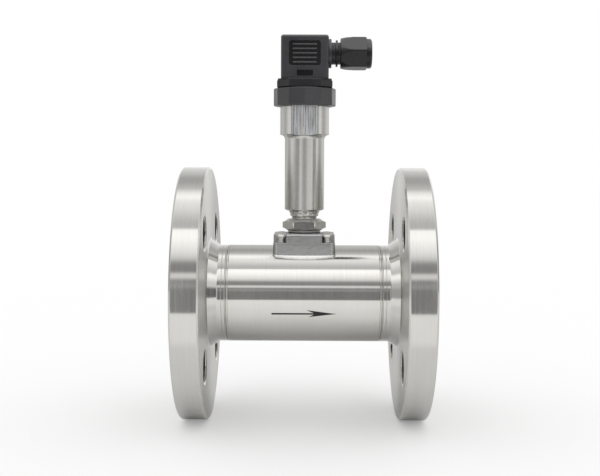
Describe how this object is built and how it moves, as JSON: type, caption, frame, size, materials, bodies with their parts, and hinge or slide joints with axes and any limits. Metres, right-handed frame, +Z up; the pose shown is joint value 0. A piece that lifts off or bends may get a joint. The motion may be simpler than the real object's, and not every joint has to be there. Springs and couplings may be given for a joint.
{
  "type": "turbine flow meter",
  "caption": "Flanged inline turbine flow meter: bladed rotor between vane cages, a sensor stem standing on a welded block, and a right-angled cable plug.",
  "frame": {"origin": "centre of the inlet flange's raised face, on the axis of the flow bore", "axes": "+X the way the fluid flows, from inlet to outlet; +Z up along the sensor stem; -Y the side with the plug's ribbed panel and the flow arrow"},
  "size_m": [0.14, 0.14, 0.2115],
  "materials": {
    "flange_steel": "turned, with fine rings",
    "pipe_steel": "brushed along its girth, bright",
    "block_steel": "milled",
    "screw_steel": "turned, slightly dull",
    "nut_steel": "bright",
    "stem_steel": "turned, bright",
    "black_nut": "fine satin",
    "black_plug": "fine grain",
    "black_gland": "satin",
    "dark_rubber": "dull",
    "grey_rubber": "dull",
    "cage_steel": "turned",
    "rotor_steel": "milled",
    "hard_metal": "ground and polished",
    "spring_steel": "dull",
    "soft_iron": "turned",
    "copper_wire": "lacquered",
    "cream_plastic": "moulded",
    "magnet_nickel": "plated",
    "board_green": "satin",
    "chip_black": "moulded",
    "contact_brass": "tinned thinly",
    "grey_plastic": "moulded"
  },
  "bodies": {
    "meter_body": {"inlet_flange": "flange_steel", "outlet_flange": "flange_steel", "body_tube": "pipe_steel", "sensor_boss": "block_steel", "boss_screws": "screw_steel", "boss_lock_washers": "screw_steel", "boss_spacers": "screw_steel", "seal_washer": "grey_rubber", "pickup_sleeve": "nut_steel", "lock_nut": "nut_steel", "stem_housing": "stem_steel", "coupling_nut": "black_nut", "connector_base": "black_plug", "connector_shell": "black_plug", "inlet_straightener": "cage_steel", "outlet_straightener": "cage_steel", "inlet_retaining_ring": "spring_steel", "outlet_retaining_ring": "spring_steel", "inlet_bush": "hard_metal", "outlet_bush": "hard_metal", "pickup_core": "soft_iron", "coil_bobbin": "cream_plastic", "pickup_coil": "copper_wire", "pickup_magnet": "magnet_nickel", "amplifier_board": "board_green", "board_components": "chip_black", "contact_blades": "contact_brass", "connector_gasket": "dark_rubber", "terminal_block": "grey_plastic", "terminal_screws": "screw_steel", "connector_screw": "screw_steel", "screw_seal": "dark_rubber", "gland_seal": "dark_rubber", "gland_claw": "grey_plastic"},
    "turbine": {"rotor": "rotor_steel", "rotor_shaft": "hard_metal", "thrust_washers": "hard_metal"},
    "gland_carrier": {"gland_slip_ring": "black_gland"},
    "gland_cap": {"gland_nut": "black_gland"}
  },
  "joints": [
    {"name": "rotor_spin", "type": "hinge", "parent": "meter_body", "child": "turbine", "pos_m": [0.07, 0, 0], "axis": [1, 0, 0], "continuous": true},
    {"name": "gland_travel", "type": "slide", "parent": "meter_body", "child": "gland_carrier", "axis": [1, 0, 0], "range_m": [0, 0.003]},
    {"name": "gland_nut_turn", "type": "hinge", "parent": "gland_carrier", "child": "gland_cap", "pos_m": [0.098, 0, 0.1327], "axis": [1, 0, 0], "range_deg": [0, 720]}
  ],
  "couplings": [
    {"joint": "gland_travel", "follows": "gland_nut_turn", "m_per_rad": 0.00023873}
  ]
}
